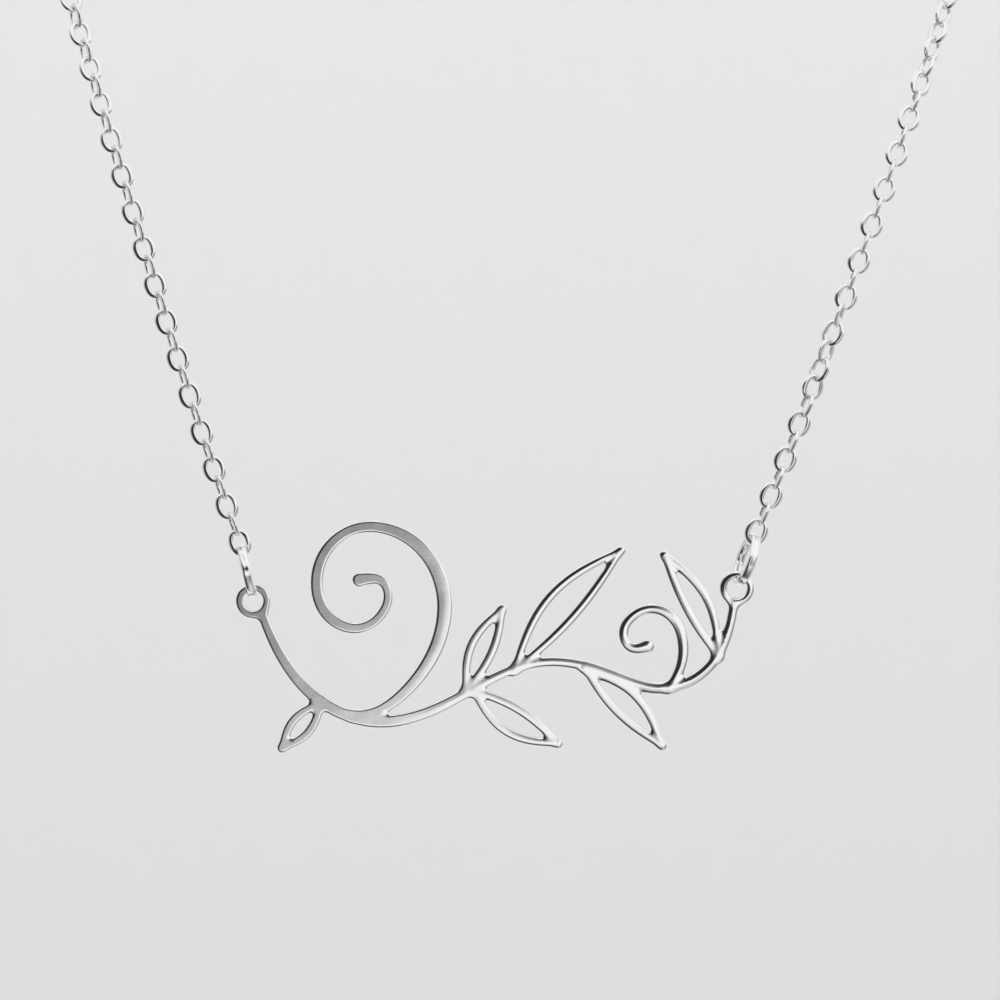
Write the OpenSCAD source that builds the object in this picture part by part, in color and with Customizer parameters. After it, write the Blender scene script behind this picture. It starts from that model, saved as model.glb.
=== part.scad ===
// Nameplate necklace: a flat plate pierced as a leafy vine, hung by two jump
// rings from a fine cable chain that closes with a plain clasp at the nape.
// Millimetres. The origin is the middle of the clasp, at the nape of the neck.
// +X is the viewer's right, +Z is up and the plate faces -Y.

/* [Plate] */
// Width of the plate between the centres of its two eyelets
plate_span = 35.8; // [30:0.2:44]
// How much higher the right eyelet sits than the left one
plate_rise = 0.95; // [0:0.05:2]
// Height of the vine, from the lowest leaf tip to the top of the big curl
plate_height = 16.6; // [14:0.2:20]
// Thickness of the plate
plate_thick = 1.0; // [0.8:0.05:1.4]
// Width of the stem; the big curl swells to 1.4 times this
stem_w = 0.84; // [0.68:0.02:0.94]
// Width of the strokes that outline the leaves
leaf_w = 0.66; // [0.52:0.02:0.76]
// Width below which metal fills the sharp inner corners where strokes meet
join_fill = 0.36; // [0.1:0.02:0.5]

/* [Eyelets] */
// Diameter of the hole in each eyelet
eye_hole = 1.5; // [1.4:0.05:1.8]
// Width of the metal around the hole
eye_wall = 0.52; // [0.4:0.02:0.8]

/* [Jump rings] */
// Outer diameter of each jump ring
ring_d = 4.1; // [3.8:0.1:5]
// Width of the flattened wire of each jump ring
ring_wire = 0.7; // [0.6:0.02:0.72]
// Thickness of that wire, measured outward from the ring's middle
ring_thick = 0.46; // [0.4:0.02:0.5]
// Lean of the left ring from upright, towards the left
ring_lean_left = 12.5; // [5:0.5:20]
// Lean of the right ring from upright, towards the right
ring_lean_right = 19; // [5:0.5:20]
// Turn of the left ring about its own length, from edge-on
ring_turn_left = -3; // [-8:1:8]
// Turn of the right ring about its own length, from edge-on
ring_turn_right = -10; // [-12:1:12]

/* [Chain] */
// Outer length of a link
link_len = 2.21; // [2.19:0.01:2.5]
// Outer width of a link
link_w = 1.71; // [1.64:0.01:1.9]
// Wire of a link
link_wire = 0.33; // [0.28:0.01:0.34]
// Least clear gap between one link and the next
link_gap = 0.11; // [0.1:0.01:0.13]

/* [Clasp] */
// Outer diameter of the clasp's ring
clasp_d = 6.0; // [5:0.1:7]
// Wire of the clasp's ring
clasp_wire = 1.1; // [0.9:0.05:1.3]
// Outer diameter of the clasp's small eye
clasp_eye_d = 2.5; // [2.3:0.05:3]
// Wire of the clasp's small eye
clasp_eye_wire = 0.6; // [0.5:0.02:0.64]
// Length of the neck between the clasp's ring and its eye
clasp_neck = 0.5; // [0.3:0.05:1]
// Outer diameter of the ring that joins the right strand to the clasp
end_ring_d = 3.5; // [3.3:0.1:4.5]
// Wire of that ring
end_ring_wire = 0.6; // [0.5:0.02:0.64]

/* [Hidden] */
silver = "#c9cbcd";
$fn = 48;

// Clear space between pieces that hang on one another, around the ring in an eyelet,
// and below the first link, whose round end sits on the ring's broad wire
seat_gap = 0.12;
eye_gap = 0.18;
nest_gap = 0.16;

// Middle of the plate, forward of the nape and below it
plate_at = [0, -88, -104];

// Places of the chain's course, from the plate up over the neck to the nape.
// The chain follows a smooth curve that these places steer.
course_left = [
    [-22, -88, -88],
    [-26.7, -87, -73],
    [-31.9, -84, -56],
    [-37, -77, -39],
    [-42, -65, -24],
    [-45, -49, -12],
    [-42, -31, -4],
    [-33, -14, 0],
    [-22, -4, 0],
    [-13, -1, 0]
];
course_right = [
    [22.6, -88, -88],
    [28.1, -87, -73],
    [34.2, -84, -56],
    [39.5, -77, -39],
    [43.5, -65, -24],
    [45.5, -49, -12],
    [42, -31, -4],
    [33, -14, 0],
    [23, -4, 0],
    [14, -1, 0]
];

// Twist of each strand: [share of its length, degrees about its own line]
twist_left = [[0, 14], [0.04, 20], [0.2, 24], [0.26, 32], [1, 32]];
twist_right = [[0, 12], [0.05, 18], [0.11, 90], [0.19, 90], [0.23, 135], [1, 135]];
// Further turn of every second link, which has settled at a slant: [share of the length, degrees]
settle_left = [[0, -19], [0.2, -22], [0.3, 0], [1, 0]];
settle_right = [[0, -17], [0.06, -17], [0.11, 0], [1, 0]];
// Share of a strand after which it turns evenly to meet the clasp squarely
closing_from = 0.3;

// Smooth curve: samples between one steering place and the next
course_steps = 12;

function unit(v) = v / norm(v);

// Uniform cubic B-spline through the span of four neighbouring rows, at t from 0 to 1
function spline_at(a, b, c, d, t) =
    (pow(1 - t, 3) * a + (3 * pow(t, 3) - 6 * t * t + 4) * b
    + (-3 * pow(t, 3) + 3 * t * t + 3 * t + 1) * c + pow(t, 3) * d) / 6;

// The same curve run from the first row to the last, with both ends reached
function spline(rows, steps) =
    let (n = len(rows))
    let (g = concat([2 * rows[0] - rows[1]], rows, [2 * rows[n - 1] - rows[n - 2]]))
    concat(
        [for (i = [0:n - 2], j = [0:steps - 1]) spline_at(g[i], g[i + 1], g[i + 2], g[i + 3], j / steps)],
        [rows[n - 1]]
    );

// Running length at each point of a line
function run_lengths(line) =
    [for (i = 0, s = 0; i < len(line); i = i + 1, s = s + (i < len(line) ? norm(line[i] - line[i - 1]) : 0)) s];

// Point at a given running length, from three tables of [length, coordinate]
function tables(line) =
    let (s = run_lengths(line))
    [for (k = [0:2]) [for (i = [0:len(line) - 1]) [s[i], line[i][k]]]];
function place_at(table, s) = [for (k = [0:2]) lookup(s, table[k])];

// The normal carried from one link to the next without any turn about the line
function carried(axes, first) =
    [for (i = 0, n = unit(first - (first * axes[0]) * axes[0]); i < len(axes);
        i = i + 1, n = i < len(axes) ? unit(n - (n * axes[i]) * axes[i]) : n) n];

// Jump rings: radius of the wire's centre line
ring_r = (ring_d - ring_thick) / 2;
// Rise of a ring's wire across half the plate's thickness
ring_sag = ring_r - sqrt(ring_r * ring_r - plate_thick * plate_thick / 4);
// Distance from an eyelet's centre up to the wire that hangs in it
ring_seat = (eye_hole - ring_thick) / 2 - ring_sag - eye_gap;
// Distance from the wire at a ring's far side to the middle of the link it holds
function link_seat(wire, gap = seat_gap) = link_len / 2 - link_wire - wire / 2 - gap;

half_span = plate_span / 2;
half_height = plate_height / 2;
// Eyelets, in the plate's own plane
eye_left = [-half_span, 0.35 * half_height];
eye_right = [half_span, eye_left[1] + plate_rise];
// Where the stem leaves and meets the eyelets' rims
rim = (eye_hole + eye_wall) / 2 + eye_wall / 4;
rim_left = eye_left + rim * [cos(-55), sin(-55)];
rim_right = eye_right + rim * [cos(-100), sin(-100)];

// Strokes of the vine: [share of half the span, share of half the height, share of the stem's width]
stem = concat(
    [[rim_left[0] / half_span, rim_left[1] / half_height, 0.85]],
    [
        [-0.9, -0.12, 0.95],
        [-0.75, -0.56, 1.1],
        [-0.5, -0.78, 1.15],
        [-0.25, -0.65, 1],
        [-0.02, -0.33, 0.85],
        [0.21, -0.14, 0.85],
        [0.45, -0.26, 0.95],
        [0.65, -0.48, 1.05],
        [0.85, -0.36, 0.95],
        [0.96, -0.04, 0.85]
    ],
    [[rim_right[0] / half_span, rim_right[1] / half_height, 0.8]]
);
curl = [
    [-0.59, -0.67, 0.75],
    [-0.45, -0.65, 1],
    [-0.24, -0.18, 1.25],
    [-0.18, 0.42, 1.4],
    [-0.31, 0.93, 1.2],
    [-0.57, 1.09, 0.95],
    [-0.75, 0.75, 1.05],
    [-0.74, 0.22, 1.1],
    [-0.55, 0.03, 0.9],
    [-0.42, 0.32, 0.8],
    [-0.46, 0.58, 0.8],
    [-0.56, 0.54, 1.25]
];
tendril = [
    [0.72, -0.43, 0.8],
    [0.79, -0.2, 0.95],
    [0.77, 0.2, 1],
    [0.63, 0.34, 0.85],
    [0.51, 0.12, 0.85],
    [0.55, -0.1, 0.8],
    [0.63, -0.05, 1.2]
];
// Leaves: [base x, base z, tip x, tip z, bulge, bow], the last two as shares of the leaf's length
leaves = [
    [0.08, -0.27, 0.52, 0.8, 0.095, 0.045],
    [-0.09, -0.45, 0.26, -0.92, 0.125, -0.045],
    [-0.12, -0.45, 0.03, 0.28, 0.12, 0.03],
    [0.37, -0.25, 0.69, -0.94, 0.11, 0.04],
    [0.925, -0.15, 0.7, 0.76, 0.095, -0.05],
    [-0.72, -0.56, -0.88, -0.96, 0.16, 0]
];
leaf_taper = 0.3;
// Points along each edge of a leaf, along each span of a stroke and round its tips
leaf_steps = 14;
stroke_steps = 7;
tip_facets = 20;

function in_space(p) = plate_at + [p[0], 0, p[1]];
function lean_dir(degrees) = [sin(degrees), 0, cos(degrees)];
function ring_centre(eye, lean) = in_space(eye) + (ring_seat + ring_r) * lean_dir(lean);
function ring_top(eye, lean) = ring_centre(eye, lean) + ring_r * lean_dir(lean);
function first_link(top, aim) = top + link_seat(ring_thick, nest_gap) * unit(aim - top);

// Clasp: radii of the wires' centre lines and the places along X
clasp_r = (clasp_d - clasp_wire) / 2;
clasp_eye_r = (clasp_eye_d - clasp_eye_wire) / 2;
clasp_eye_x = -(clasp_d / 2 + clasp_neck + clasp_eye_d / 2);
end_ring_r = (end_ring_d - end_ring_wire) / 2;
end_ring_x = clasp_r - (clasp_wire + end_ring_wire) / 2 - seat_gap + end_ring_r;
last_left = [clasp_eye_x - clasp_eye_r - link_seat(clasp_eye_wire), 0, 0];
last_right = [end_ring_x + end_ring_r + link_seat(end_ring_wire), 0, 0];

top_left = ring_top(eye_left, -ring_lean_left);
top_right = ring_top(eye_right, ring_lean_right);
line_left = spline(concat([first_link(top_left, course_left[0])], course_left, [last_left]), course_steps);
line_right = spline(concat([first_link(top_right, course_right[0])], course_right, [last_right]), course_steps);

// Pitch at which neighbouring links keep their gap
link_pitch = link_len - 2 * link_wire - link_gap;

module ring(d, wire) {
    rotate_extrude() translate([(d - wire) / 2, 0]) circle(d = wire);
}

// Ring of wire that is flattened to an oval, wide along the ring's axis
module flat_ring(d, width, thick) {
    rotate_extrude() translate([(d - thick) / 2, 0]) scale([thick / width, 1]) circle(d = width);
}

// Oval link: long axis along X, lying in the XY plane
module link() {
    straight = link_len - link_w;
    across = (link_w - link_wire) / 2;
    for (end = [-1, 1])
        translate([end * straight / 2, 0, 0])
            rotate([0, 0, -90 * end])
                rotate_extrude(angle = 180) translate([across, 0]) circle(d = link_wire);
    for (side = [-1, 1])
        translate([0, side * across, 0])
            rotate([0, 90, 0]) cylinder(d = link_wire, h = straight, center = true);
}

// Puts a piece at a place, with its X along one direction and its Z along another
module put(at, x, z) {
    y = cross(z, x);
    multmatrix([
        [x[0], y[0], z[0], at[0]],
        [x[1], y[1], z[1], at[1]],
        [x[2], y[2], z[2], at[2]]
    ]) children();
}

// Angle from one normal to another about an axis, the short way for a two-sided link
function square_up(n, wanted, axis) =
    let (a = atan2(cross(n, wanted) * axis, n * wanted))
    a - 180 * round(a / 180);

// One strand: links in step along a line, each turned a quarter from the last, plus the
// slow twist of the strand and the slant at which every second link has settled
module strand(line, twist, settle, last_normal) {
    table = tables(line);
    total = run_lengths(line)[len(line) - 1];
    count = round(total / link_pitch);
    step = total / count;
    axes = [for (i = [0:count])
        unit(place_at(table, (i + 0.5) * step) - place_at(table, (i - 0.5) * step))];
    normals = carried(axes, [0, -1, 0]);
    turned = [for (i = [0:count])
        lookup(i / count, twist) + (i % 2 == 0 ? lookup(i / count, settle) : 90)];
    end_n = spun(normals[count], axes[count], turned[count]);
    closing = square_up(end_n, last_normal, axes[count]);
    for (i = [0:count]) {
        closed = closing * max(0, (i / count - closing_from) / (1 - closing_from));
        put(place_at(table, i * step), axes[i], spun(normals[i], axes[i], turned[i] + closed)) link();
    }
}

// A normal turned about an axis that it is square to
function spun(n, axis, degrees) = cos(degrees) * n + sin(degrees) * cross(axis, n);

module jump_ring(eye, lean, turn) {
    up = lean_dir(lean);
    side = cross(up, [0, 1, 0]);
    axis = cos(turn) * side + sin(turn) * [0, 1, 0];
    color(silver) put(ring_centre(eye, lean), up, axis) flat_ring(ring_d, ring_wire, ring_thick);
}
module jump_ring_left() jump_ring(eye_left, -ring_lean_left, ring_turn_left);
module jump_ring_right() jump_ring(eye_right, ring_lean_right, ring_turn_right);

module chain_left() color(silver) strand(line_left, twist_left, settle_left, [0, 0, 1]);
module chain_right() color(silver) strand(line_right, twist_right, settle_right, [0, 1, 0]);

// Flat outline of one stroke, with round ends, from rows of [x, z, half width]
module stroke(rows) {
    n = len(rows);
    centre = [for (row = rows) [row[0], row[1]]];
    run = [for (i = [0:n - 1]) unit(centre[min(i + 1, n - 1)] - centre[max(i - 1, 0)])];
    half = [for (i = [0:n - 1]) rows[i][2] * [-run[i][1], run[i][0]]];
    polygon(concat([for (i = [0:n - 1]) centre[i] + half[i]], [for (i = [n - 1:-1:0]) centre[i] - half[i]]));
    for (i = [0, n - 1]) translate(centre[i]) circle(r = rows[i][2], $fn = tip_facets);
}

// Both edges of a leaf: two bowed strokes that share a base and a tip
module leaf(row) {
    base = [row[0] * half_span, row[1] * half_height];
    tip = [row[2] * half_span, row[3] * half_height];
    rib = tip - base;
    out = [-rib[1], rib[0]];
    for (side = [-1, 1])
        stroke([for (t = [0:1 / leaf_steps:1])
            let (p = base + t * rib + sin(180 * t) * (row[5] + side * row[4]) * out)
            [p[0], p[1], leaf_w / 2 * (1 - leaf_taper * pow(abs(2 * t - 1), 3))]]);
}

module vine() {
    for (rows = [stem, curl, tendril])
        stroke(spline([for (r = rows) [r[0] * half_span, r[1] * half_height, r[2] * stem_w / 2]], stroke_steps));
    for (row = leaves) leaf(row);
    for (eye = [eye_left, eye_right]) translate(eye) circle(r = eye_hole / 2 + eye_wall);
}

module nameplate() color(silver)
    translate(in_space([0, 0])) rotate([90, 0, 0])
        difference() {
            linear_extrude(plate_thick, center = true)
                offset(delta = -join_fill / 2) offset(delta = join_fill / 2) vine();
            for (eye = [eye_left, eye_right])
                translate(eye) cylinder(d = eye_hole, h = 2 * plate_thick, center = true);
        }
module end_ring() color(silver) translate([end_ring_x, 0, 0]) ring(end_ring_d, end_ring_wire);
module clasp() color(silver) {
    rotate([90, 0, 0]) ring(clasp_d, clasp_wire);
    translate([clasp_eye_x, 0, 0]) rotate([90, 0, 0]) ring(clasp_eye_d, clasp_eye_wire);
    translate([-clasp_d / 2 - clasp_neck / 2, 0, 0]) rotate([0, 90, 0])
        cylinder(d = clasp_eye_wire, h = clasp_neck + clasp_wire / 2 + clasp_eye_wire / 2, center = true);
}

nameplate();
jump_ring_left();
jump_ring_right();
chain_left();
chain_right();
end_ring();
clasp();
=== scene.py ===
# %% [markdown]
# # A nameplate necklace in polished silver
# The necklace is a fine cable chain that carries a flat plate, pierced as a leafy
# vine, between two jump rings. All of it is polished metal, so nearly everything the
# eye sees is a reflection: the rounded edges, the wire of the links and the studio
# around them matter more than any colour.
#
# The solids of the construction are loaded first. They say how large everything is
# and where it hangs, and each finer piece below takes the place of one of them.

# %% Load the frame
import bpy
import numpy as np
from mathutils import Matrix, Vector
from mathutils.geometry import delaunay_2d_cdt


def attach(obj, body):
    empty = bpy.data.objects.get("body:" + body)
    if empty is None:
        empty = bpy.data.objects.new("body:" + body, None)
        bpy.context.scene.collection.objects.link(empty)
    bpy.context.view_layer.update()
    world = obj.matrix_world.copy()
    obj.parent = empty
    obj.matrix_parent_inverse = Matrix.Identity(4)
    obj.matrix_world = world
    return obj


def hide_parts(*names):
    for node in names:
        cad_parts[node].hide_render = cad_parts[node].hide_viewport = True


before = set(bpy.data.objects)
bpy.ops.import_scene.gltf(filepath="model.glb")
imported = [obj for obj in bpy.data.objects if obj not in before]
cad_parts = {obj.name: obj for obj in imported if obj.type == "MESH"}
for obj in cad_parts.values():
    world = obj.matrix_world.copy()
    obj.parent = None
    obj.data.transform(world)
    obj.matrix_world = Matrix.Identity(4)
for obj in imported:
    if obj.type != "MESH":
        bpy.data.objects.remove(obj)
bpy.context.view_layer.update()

MM = 0.001

# %% [markdown]
# ## Camera
# A long lens keeps the plate and the chain free of perspective, as in a catalogue
# picture. The photograph is 1000 pixels square and shows 13.5 pixels to the
# millimetre, so the width of the view at the plate is known, and the distance
# follows from the lens. The middle of the plate lies at column 495 and row 640.

# %% Place the camera
PLATE_AT = np.array([0.0, -88.0, -104.0])   # middle of the plate, mm
PHOTO_SIDE = 1000
PX_PER_MM = 13.5
PLATE_COLUMN, PLATE_ROW = 495, 640

camera_data = bpy.data.cameras.new("camera")
camera_data.lens, camera_data.sensor_width = 150, 36
camera_data.clip_start = 0.01
camera = bpy.data.objects.new("camera", camera_data)
bpy.context.collection.objects.link(camera)
bpy.context.scene.camera = camera
view_width = PHOTO_SIDE / PX_PER_MM
camera_reach = view_width * camera_data.lens / camera_data.sensor_width
camera_at = PLATE_AT + [
    (PHOTO_SIDE / 2 - PLATE_COLUMN) / PX_PER_MM,
    -camera_reach,
    (PLATE_ROW - PHOTO_SIDE / 2) / PX_PER_MM,
]
camera.location = camera_at * MM
camera.rotation_euler = (np.pi / 2, 0, 0)
print("camera", round(camera_reach), "mm in front of the plate, view", round(view_width, 1), "mm wide")

# %% [markdown]
# ## Small helpers
# Colours are written as the hex values of a paint chart and turned to the linear
# values that the renderer works in. A mesh is made from whole arrays: a table of
# points, and a table of corners for the faces. A material is a graph of nodes, and one
# function adds any of them, with its numbers and with its links to earlier nodes.

# %% Colour and mesh helpers
def linear(hex_colour):
    """sRGB hex to linear: the dark toe is a straight line, the rest a power of 2.4."""
    channel = np.array([int(hex_colour[k:k + 2], 16) for k in (1, 3, 5)]) / 255
    curve = np.where(channel <= 0.04045, channel / 12.92, ((channel + 0.055) / 1.055) ** 2.4)
    return (*curve, 1.0)


print("a grey of #808080 sends back", round(float(linear("#808080")[0]), 3), "of the light")


def mesh_piece(name, points, faces, material):
    """One smooth object from points in millimetres and blocks of faces given as rows of corners."""
    mesh = bpy.data.meshes.new(name)
    corners = [row.tolist() for block in faces for row in block]
    mesh.from_pydata((np.asarray(points) * MM).tolist(), [], corners)
    mesh.polygons.foreach_set("use_smooth", np.full(len(mesh.polygons), True))
    mesh.materials.append(material)
    mesh.update()
    piece = bpy.data.objects.new(name, mesh)
    bpy.context.collection.objects.link(piece)
    print(name, len(mesh.vertices), "points", len(mesh.polygons), "faces")
    return piece


def grid_faces(rows, columns, wrap_rows=False, wrap_columns=False):
    """Corners of the quads of a grid, whose last row or column may join the first."""
    r = np.arange(rows if wrap_rows else rows - 1)[:, None]
    c = np.arange(columns if wrap_columns else columns - 1)[None, :]
    r1, c1 = (r + 1) % rows, (c + 1) % columns
    corners = [r * columns + c, r * columns + c1, r1 * columns + c1, r1 * columns + c]
    return np.stack(np.broadcast_arrays(*corners), -1).reshape(-1, 4)


def disc_faces(rings, around):
    """The quads between rings of points, and one face that closes the first ring."""
    return [grid_faces(rings, around, wrap_columns=True), np.arange(around)[None, :]]

# %% Material helpers
MIX_SHARE, MIX_A, MIX_B, MIXED = 0, 6, 7, 2   # a Mix node's sockets for colours, by number


def new_material(name):
    """An empty material and its graph of nodes."""
    material = bpy.data.materials.new(name)
    material.use_nodes = True
    material.node_tree.nodes.clear()
    return material, material.node_tree


def add_node(tree, kind, settings=None, sockets=None):
    """Adds a node and sets its properties, then gives each named socket a value or a link.

    A link comes from another node's output, or from a node, whose first output is meant.
    """
    node = tree.nodes.new(kind)
    for key, value in (settings or {}).items():
        setattr(node, key, value)
    for key, value in (sockets or {}).items():
        source = value.outputs[0] if isinstance(value, bpy.types.Node) else value
        if isinstance(source, bpy.types.NodeSocket):
            tree.links.new(source, node.inputs[key])
        else:
            node.inputs[key].default_value = source
    return node

# %% [markdown]
# ## The studio
# The floor and the backdrop are one pale surface, a cove: a flat disc that curves up
# into a round wall. Two planes with a bevel between them would do from the front. A
# profile turned about the vertical shows no horizon and no corner from any side.

# %% Floor and backdrop
FLOOR_Z = -420.0
COVE_RADIUS, COVE_BEND, COVE_TOP = 1900.0, 700.0, 1500.0
FLOOR_RINGS = [1.0, 300.0, 700.0]    # mm, radii of the rings of points on the flat floor
COVE_STEPS, COVE_AROUND = 24, 96
# Painted shade: the paper's colour darkens from the wall down to the floor, in place of light that falls off
# lower down.
PAPER_SHADE_LOW, PAPER_LIT_HIGH, PAPER_LIT_Z = "#dadada", "#f1f1f1", 300.0


def paper(name, shaded_tone, lit_tone, low, high):
    """Matt photographic paper whose colour carries painted shade: a soft gradation between two heights in
    millimetres, darker below and lighter above.
    """
    material, tree = new_material(name)
    place = add_node(tree, "ShaderNodeTexCoord")
    parts = add_node(tree, "ShaderNodeSeparateXYZ", sockets={"Vector": place.outputs["Object"]})
    share = add_node(tree, "ShaderNodeMapRange", sockets={
        "Value": parts.outputs["Z"], "From Min": low * MM, "From Max": high * MM})
    tone = add_node(tree, "ShaderNodeMix", {"data_type": "RGBA"}, {
        MIX_SHARE: share, MIX_A: linear(shaded_tone), MIX_B: linear(lit_tone)})
    shader = add_node(tree, "ShaderNodeBsdfPrincipled", sockets={
        "Base Color": tone.outputs[MIXED], "Roughness": 0.95, "Specular IOR Level": 0.1})
    add_node(tree, "ShaderNodeOutputMaterial", sockets={"Surface": shader})
    return material


bend = np.linspace(0, np.pi / 2, COVE_STEPS)
cove_r = np.concatenate([FLOOR_RINGS, COVE_RADIUS - COVE_BEND + COVE_BEND * np.sin(bend), [COVE_RADIUS]])
cove_z = np.concatenate([np.zeros(len(FLOOR_RINGS)), COVE_BEND * (1 - np.cos(bend)), [COVE_TOP]]) + FLOOR_Z
around = np.linspace(0, 2 * np.pi, COVE_AROUND, endpoint=False)
cove_points = np.stack([
    cove_r[:, None] * np.cos(around),
    cove_r[:, None] * np.sin(around) + PLATE_AT[1] / 2,
    np.broadcast_to(cove_z[:, None], (len(cove_r), len(around))),
], -1).reshape(-1, 3)
shaded_cove_paper = paper("white paper with painted shade", PAPER_SHADE_LOW, PAPER_LIT_HIGH, FLOOR_Z, PAPER_LIT_Z)
cove = mesh_piece("cove", cove_points, disc_faces(len(cove_r), COVE_AROUND), shaded_cove_paper)
cove.visible_glossy = False   # the metal sees the tent all round, and behind it the plain white air

# %% [markdown]
# ## Light
# Jewellery is lit by what it mirrors. A tent stands round the front of the necklace
# and is painted as a photographer would build it from boxes and flags. Along a slant,
# from the upper left to the lower right, come a dark flag, a feathered edge, a bright
# card and a second, greyer flag. The flat face of the plate mirrors the feathered edge,
# so it is grey at its left end and white at its right. Below the middle cards like
# these stand upright, overhead hangs a soft box in three strips, and a white card lies
# beneath. Each could be a lamp or a card of its own, but one painted surface lets each
# edge be as soft as it needs to be. The metal alone sees the tent.

# %% What the tent shows
SLANT = 45           # degrees by which the bands of light lean
UP_TILT = 15         # degrees by which what is above and below leans to the right

# Brightness along the slant: degrees from straight ahead, towards the lower right.
BAND = [(-90, 0.6), (-62, 0.45), (-48, 0.05), (-5, 0.02), (-3.2, 0.2), (-1.6, 0.32), (-0.5, 0.36),
        (0.6, 0.58), (1.6, 0.9), (3, 1.0), (15, 1.0), (23, 0.5), (30, 0.22), (48, 0.2), (58, 0.55),
        (70, 0.7), (90, 0.5)]
# Brightness below, above and beneath: degrees to the right of straight ahead.
LOW_BAND = [(-90, 0.6), (-64, 0.45), (-50, 0.04), (-7, 0.05), (4, 0.14), (13, 0.42), (18, 0.95), (25, 0.6),
            (33, 0.22), (50, 0.2), (60, 0.55), (72, 0.7), (90, 0.5)]
TOP_BAND = [(-90, 0.8), (-40, 1.0), (-17, 1.0), (-12, 0.5), (-7, 1.05), (9, 1.05), (14, 0.5), (19, 1.0),
            (50, 1.0), (90, 0.8)]
FOOT_BAND = [(-90, 0.85), (90, 0.85)]
# Degrees up at which each of them begins and at which it is full.
LOW_REACH, TOP_REACH, FOOT_REACH = (-10, -24), (15, 26), (-75, -95)
print("brightness straight ahead", round(float(np.interp(0, *np.array(BAND).T)), 2))


def lean_dir(degrees):
    """A direction in the plane of the plate: the sine of its lean to the right along X, the cosine up Z."""
    return np.array([np.sin(np.radians(degrees)), 0, np.cos(np.radians(degrees))])


def level_ramp(tree, angle, bands):
    """Brightness against an angle, straight between the places that are stated in degrees."""
    low, high = bands[0][0], bands[-1][0]
    share = add_node(tree, "ShaderNodeMapRange", sockets={
        "Value": angle, "From Min": np.radians(low), "From Max": np.radians(high)})
    ramp = add_node(tree, "ShaderNodeValToRGB", sockets={"Fac": share})
    stops = ramp.color_ramp.elements
    for at, level in bands[1:-1]:
        stops.new((at - low) / (high - low)).color = (level, level, level, 1)
    stops[0].color = (bands[0][1],) * 3 + (1,)
    stops[-1].color = (bands[-1][1],) * 3 + (1,)
    return ramp.outputs[0]


def tent_material():
    """Light that depends on direction alone, laid out like a map drawn round the point straight ahead.

    A place on the map lies as far from its middle as the angle from straight ahead, on
    the side to which it points. Its part along the slant picks the brightness, its
    level part does so below, above and beneath, and its upright part says where each
    of those begins.
    """
    material, tree = new_material("soft boxes and flags")
    place = add_node(tree, "ShaderNodeTexCoord")
    away = add_node(tree, "ShaderNodeVectorMath", {"operation": "SUBTRACT"}, {
        0: place.outputs["Object"], 1: PLATE_AT * MM})
    aim = add_node(tree, "ShaderNodeVectorMath", {"operation": "NORMALIZE"}, {0: away})
    ahead = add_node(tree, "ShaderNodeVectorMath", {"operation": "DOT_PRODUCT"}, {0: aim, 1: (0, -1, 0)})
    angle = add_node(tree, "ShaderNodeMath", {"operation": "ARCCOSINE"}, {0: ahead.outputs["Value"]})
    flat = add_node(tree, "ShaderNodeVectorMath", {"operation": "MULTIPLY"}, {0: aim, 1: (1, 0, 1)})
    side = add_node(tree, "ShaderNodeVectorMath", {"operation": "NORMALIZE"}, {0: flat})
    spot = add_node(tree, "ShaderNodeVectorMath", {"operation": "SCALE"}, {0: side, "Scale": angle})
    slanted, sideways, rise = (
        add_node(tree, "ShaderNodeVectorMath", {"operation": "DOT_PRODUCT"}, {
            0: spot, 1: lean_dir(lean)}).outputs["Value"]
        for lean in (90 + SLANT, 90, UP_TILT))
    level = level_ramp(tree, slanted, BAND)
    for (start, full), band in (LOW_REACH, LOW_BAND), (TOP_REACH, TOP_BAND), (FOOT_REACH, FOOT_BAND):
        part = add_node(tree, "ShaderNodeMapRange", {"interpolation_type": "SMOOTHSTEP"}, {
            "Value": rise, "From Min": np.radians(start), "From Max": np.radians(full)})
        level = add_node(tree, "ShaderNodeMix", {"data_type": "RGBA"}, {
            MIX_SHARE: part, MIX_A: level, MIX_B: level_ramp(tree, sideways, band)}).outputs[MIXED]
    glow = add_node(tree, "ShaderNodeEmission", sockets={"Color": level, "Strength": 1.0})
    add_node(tree, "ShaderNodeOutputMaterial", sockets={"Surface": glow})
    return material

# %% The tent itself
TENT_RADIUS = 1000.0
TENT_TIP, TENT_REACH = 0.5, 165     # degrees from straight ahead to its first and its last ring
TENT_RINGS, TENT_AROUND = 40, 72

polar = np.radians(np.linspace(TENT_TIP, TENT_REACH, TENT_RINGS))[:, None]
turn = np.linspace(0, 2 * np.pi, TENT_AROUND, endpoint=False)[None, :]
tent_ways = np.broadcast_arrays(np.sin(polar) * np.cos(turn), -np.cos(polar), np.sin(polar) * np.sin(turn))
tent_points = np.stack(tent_ways, -1).reshape(-1, 3) * TENT_RADIUS + PLATE_AT
tent = mesh_piece("tent", tent_points, disc_faces(TENT_RINGS, TENT_AROUND), tent_material())
tent.visible_camera = tent.visible_diffuse = tent.visible_shadow = False

# %% [markdown]
# The tent gives the paper no light, so two large square lamps do: one overhead and one
# from the front. They are hidden from the metal, which would mirror them as squares.
# The white air of the world fills the shadows.

# %% Lamps for the paper
def soft_lamp(name, place, aim, size, power):
    """A square area lamp, given in metres and watts, turned towards a point."""
    data = bpy.data.lights.new(name, "AREA")
    data.size, data.energy = size, power
    lamp = bpy.data.objects.new(name, data)
    bpy.context.collection.objects.link(lamp)
    lamp.location = place
    lamp.rotation_euler = (Vector(aim) - Vector(place)).to_track_quat("-Z", "Y").to_euler()
    lamp.visible_glossy = False
    print(name, power, "watts")


soft_lamp("top box", (0.0, 0.3, 1.3), (0, 0.6, -0.2), 1.4, 8)
soft_lamp("front box", (0.0, -1.0, 1.0), (0, 0.9, 0.1), 1.0, 8)

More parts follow.
